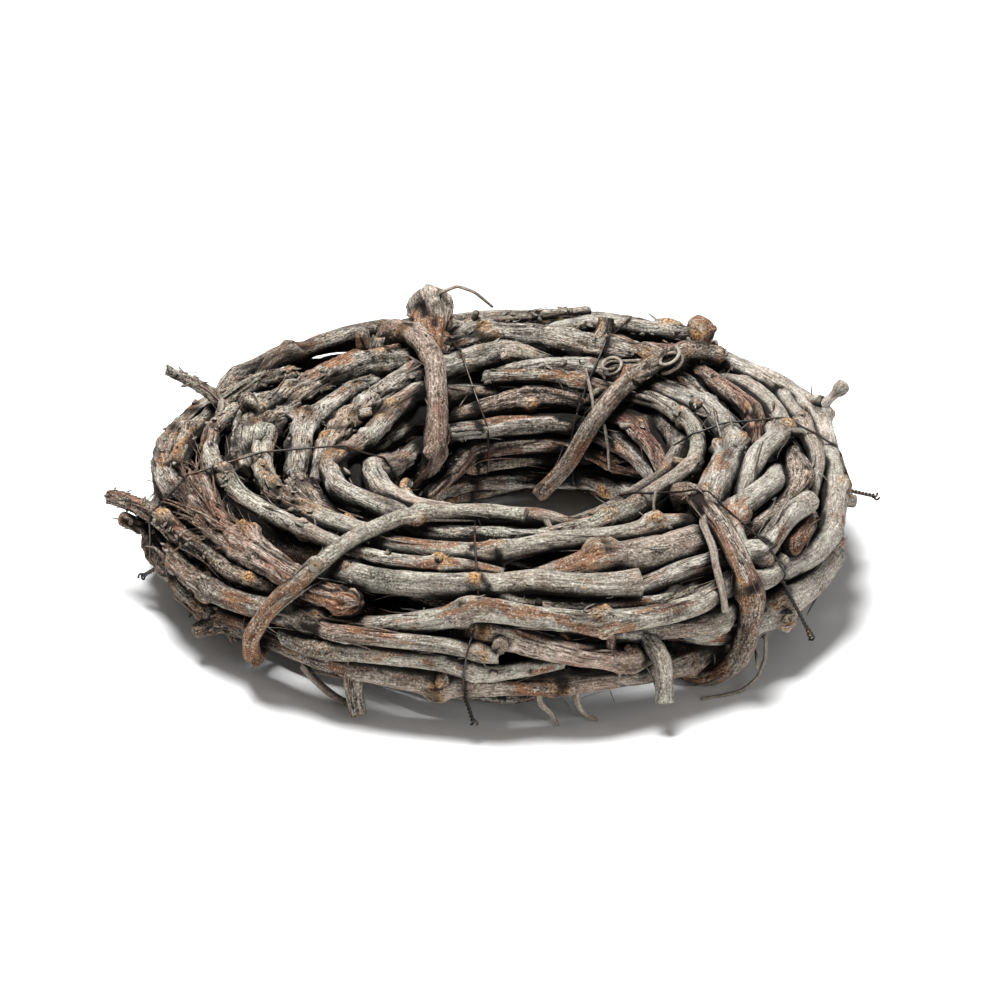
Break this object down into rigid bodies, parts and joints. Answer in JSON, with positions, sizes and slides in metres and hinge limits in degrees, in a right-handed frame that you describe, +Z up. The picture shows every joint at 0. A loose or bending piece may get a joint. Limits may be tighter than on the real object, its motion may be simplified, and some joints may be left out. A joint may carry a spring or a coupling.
{
  "type": "grapevine wreath",
  "caption": "Round wreath of weathered vine canes laid in a ring, held by wrapped twigs and loops of thin wire.",
  "frame": {"origin": "middle of the box at the wreath's foot, on the surface that it lies on", "axes": "+Z up through the hole, -Y towards the side seen in front, +X to the right"},
  "size_m": [0.433, 0.4058, 0.1155],
  "materials": {
    "bark_brown": "dark brown bark, cracked and fibrous, matte",
    "bark_dark": "old dark grey bark, deeply cracked, matte",
    "bark_green": "weathered grey bark with a thin greenish film, matte",
    "bark_grey": "weathered, dry, fibrous bark, warm grey, matte",
    "bark_pale": "sun-bleached pale bark, finely ridged, matte",
    "bark_red": "reddish brown inner bark laid bare by peeling, matte",
    "wire": "annealed iron binding wire, dark, slightly rusty"
  },
  "bodies": {
    "root": {"cane_front_low": "bark_brown", "cane_front_middle": "bark_green", "cane_front_torn": "bark_red", "cane_front_upper": "bark_green", "cane_left_slim": "bark_green", "cane_rim_slim": "bark_green", "cane_broken_thick": "bark_brown", "cane_left_stub": "bark_brown", "cane_front_lower": "bark_green", "cane_front_slab": "bark_red", "cane_right_thick": "bark_brown", "cane_right_middle": "bark_pale", "cane_right_lower": "bark_green", "cane_right_cut": "bark_pale", "cane_right_back": "bark_brown", "cane_right_upper": "bark_brown", "cane_right_light": "bark_pale", "cane_right_branch": "bark_pale", "cane_top_thick": "bark_dark", "cane_back_right": "bark_red", "cane_rim_swelling": "bark_grey", "cane_inner_long": "bark_green", "cane_inner_pink": "bark_red", "cane_inner_back": "bark_grey", "cane_inner_low": "bark_brown", "cane_left_rim": "bark_pale", "twig_back": "bark_green", "twig_knob": "bark_grey", "cane_left_outer": "bark_green", "cane_left_light": "bark_pale", "binder_left": "bark_green", "binder_right": "bark_brown", "binder_back": "bark_red", "binder_inner": "bark_brown", "binder_left_back": "bark_grey", "binder_right_back": "bark_brown", "wire_left": "wire", "wire_front": "wire", "wire_right_front": "wire", "wire_right": "wire", "wire_right_back": "wire", "wire_back": "wire", "core_cane_1": "bark_dark", "core_cane_2": "bark_dark", "core_cane_3": "bark_dark", "cane_fill_01": "bark_grey", "cane_fill_02": "bark_green", "cane_fill_03": "bark_brown", "cane_fill_04": "bark_grey", "cane_fill_05": "bark_dark", "cane_fill_06": "bark_green", "cane_fill_07": "bark_pale", "cane_fill_08": "bark_red", "cane_fill_09": "bark_grey", "cane_fill_10": "bark_green", "cane_fill_11": "bark_brown", "cane_fill_12": "bark_grey", "cane_fill_13": "bark_dark", "cane_fill_14": "bark_green", "cane_fill_15": "bark_pale"}
  },
  "joints": []
}
